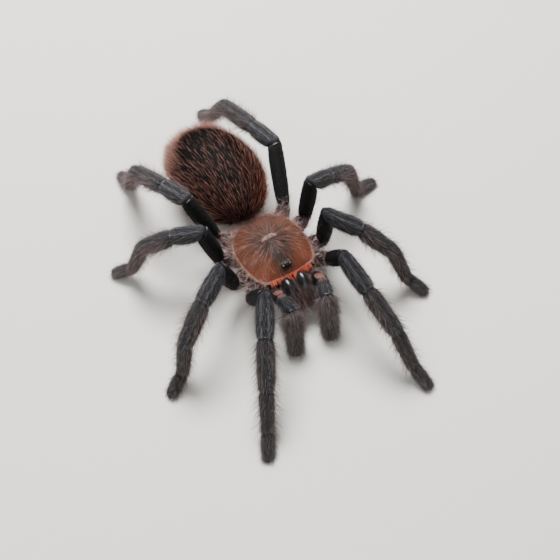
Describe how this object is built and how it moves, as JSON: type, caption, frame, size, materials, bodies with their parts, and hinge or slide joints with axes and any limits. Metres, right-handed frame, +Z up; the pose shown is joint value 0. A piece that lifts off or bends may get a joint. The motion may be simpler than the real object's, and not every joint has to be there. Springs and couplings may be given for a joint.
{
  "type": "tarantula",
  "caption": "Life-size standing tarantula: domed shield, round hairy abdomen, folded fangs, palps and jointed legs in a walking stance.",
  "frame": {"origin": "on the floor, under the middle of the animal's own bounding box", "axes": "+Z up; -Y is the way the head faces; +X is the animal's left"},
  "size_m": [0.079, 0.1077, 0.0256],
  "materials": {
    "rust_shield": "rust-orange horny plate under short radial hairs",
    "pink_brown_flesh": "pink-brown hide under pale fluff",
    "velvet_black": "short velvet-black hair",
    "charcoal_hair": "charcoal, blue-grey hair",
    "grey_brown_hair": "grey hide under long beige-brown hair",
    "jaw_black": "black horn with blue-grey sheen and long hairs",
    "fang_horn": "smooth black horn",
    "eye_glass": "wet black lenses on a dark mound",
    "abdomen_brown": "black hide under long salmon-brown hair"
  },
  "bodies": {
    "root": {"carapace": "rust_shield", "thorax": "pink_brown_flesh", "abdomen": "abdomen_brown", "ocular_tubercle": "eye_glass", "left_chelicera": "jaw_black", "left_fang": "fang_horn", "left_spinneret": "abdomen_brown", "right_chelicera": "jaw_black", "right_fang": "fang_horn", "right_spinneret": "abdomen_brown", "left_leg_1_femur": "velvet_black", "left_leg_1_patella": "charcoal_hair", "left_leg_1_tibia": "grey_brown_hair", "left_leg_1_metatarsus": "grey_brown_hair", "left_leg_1_tarsus": "charcoal_hair", "left_leg_2_femur": "velvet_black", "left_leg_2_patella": "charcoal_hair", "left_leg_2_tibia": "grey_brown_hair", "left_leg_2_metatarsus": "grey_brown_hair", "left_leg_2_tarsus": "charcoal_hair", "left_leg_3_femur": "velvet_black", "left_leg_3_patella": "charcoal_hair", "left_leg_3_tibia": "grey_brown_hair", "left_leg_3_metatarsus": "grey_brown_hair", "left_leg_3_tarsus": "charcoal_hair", "left_leg_4_femur": "velvet_black", "left_leg_4_patella": "charcoal_hair", "left_leg_4_tibia": "grey_brown_hair", "left_leg_4_metatarsus": "grey_brown_hair", "left_leg_4_tarsus": "charcoal_hair", "right_leg_1_femur": "velvet_black", "right_leg_1_patella": "charcoal_hair", "right_leg_1_tibia": "grey_brown_hair", "right_leg_1_metatarsus": "grey_brown_hair", "right_leg_1_tarsus": "charcoal_hair", "right_leg_2_femur": "velvet_black", "right_leg_2_patella": "charcoal_hair", "right_leg_2_tibia": "grey_brown_hair", "right_leg_2_metatarsus": "grey_brown_hair", "right_leg_2_tarsus": "charcoal_hair", "right_leg_3_femur": "velvet_black", "right_leg_3_patella": "charcoal_hair", "right_leg_3_tibia": "grey_brown_hair", "right_leg_3_metatarsus": "grey_brown_hair", "right_leg_3_tarsus": "charcoal_hair", "right_leg_4_femur": "velvet_black", "right_leg_4_patella": "charcoal_hair", "right_leg_4_tibia": "grey_brown_hair", "right_leg_4_metatarsus": "grey_brown_hair", "right_leg_4_tarsus": "charcoal_hair", "left_palp_femur": "velvet_black", "left_palp_patella": "charcoal_hair", "left_palp_tibia": "grey_brown_hair", "left_palp_tarsus": "charcoal_hair", "right_palp_femur": "velvet_black", "right_palp_patella": "charcoal_hair", "right_palp_tibia": "grey_brown_hair", "right_palp_tarsus": "charcoal_hair"}
  },
  "joints": []
}
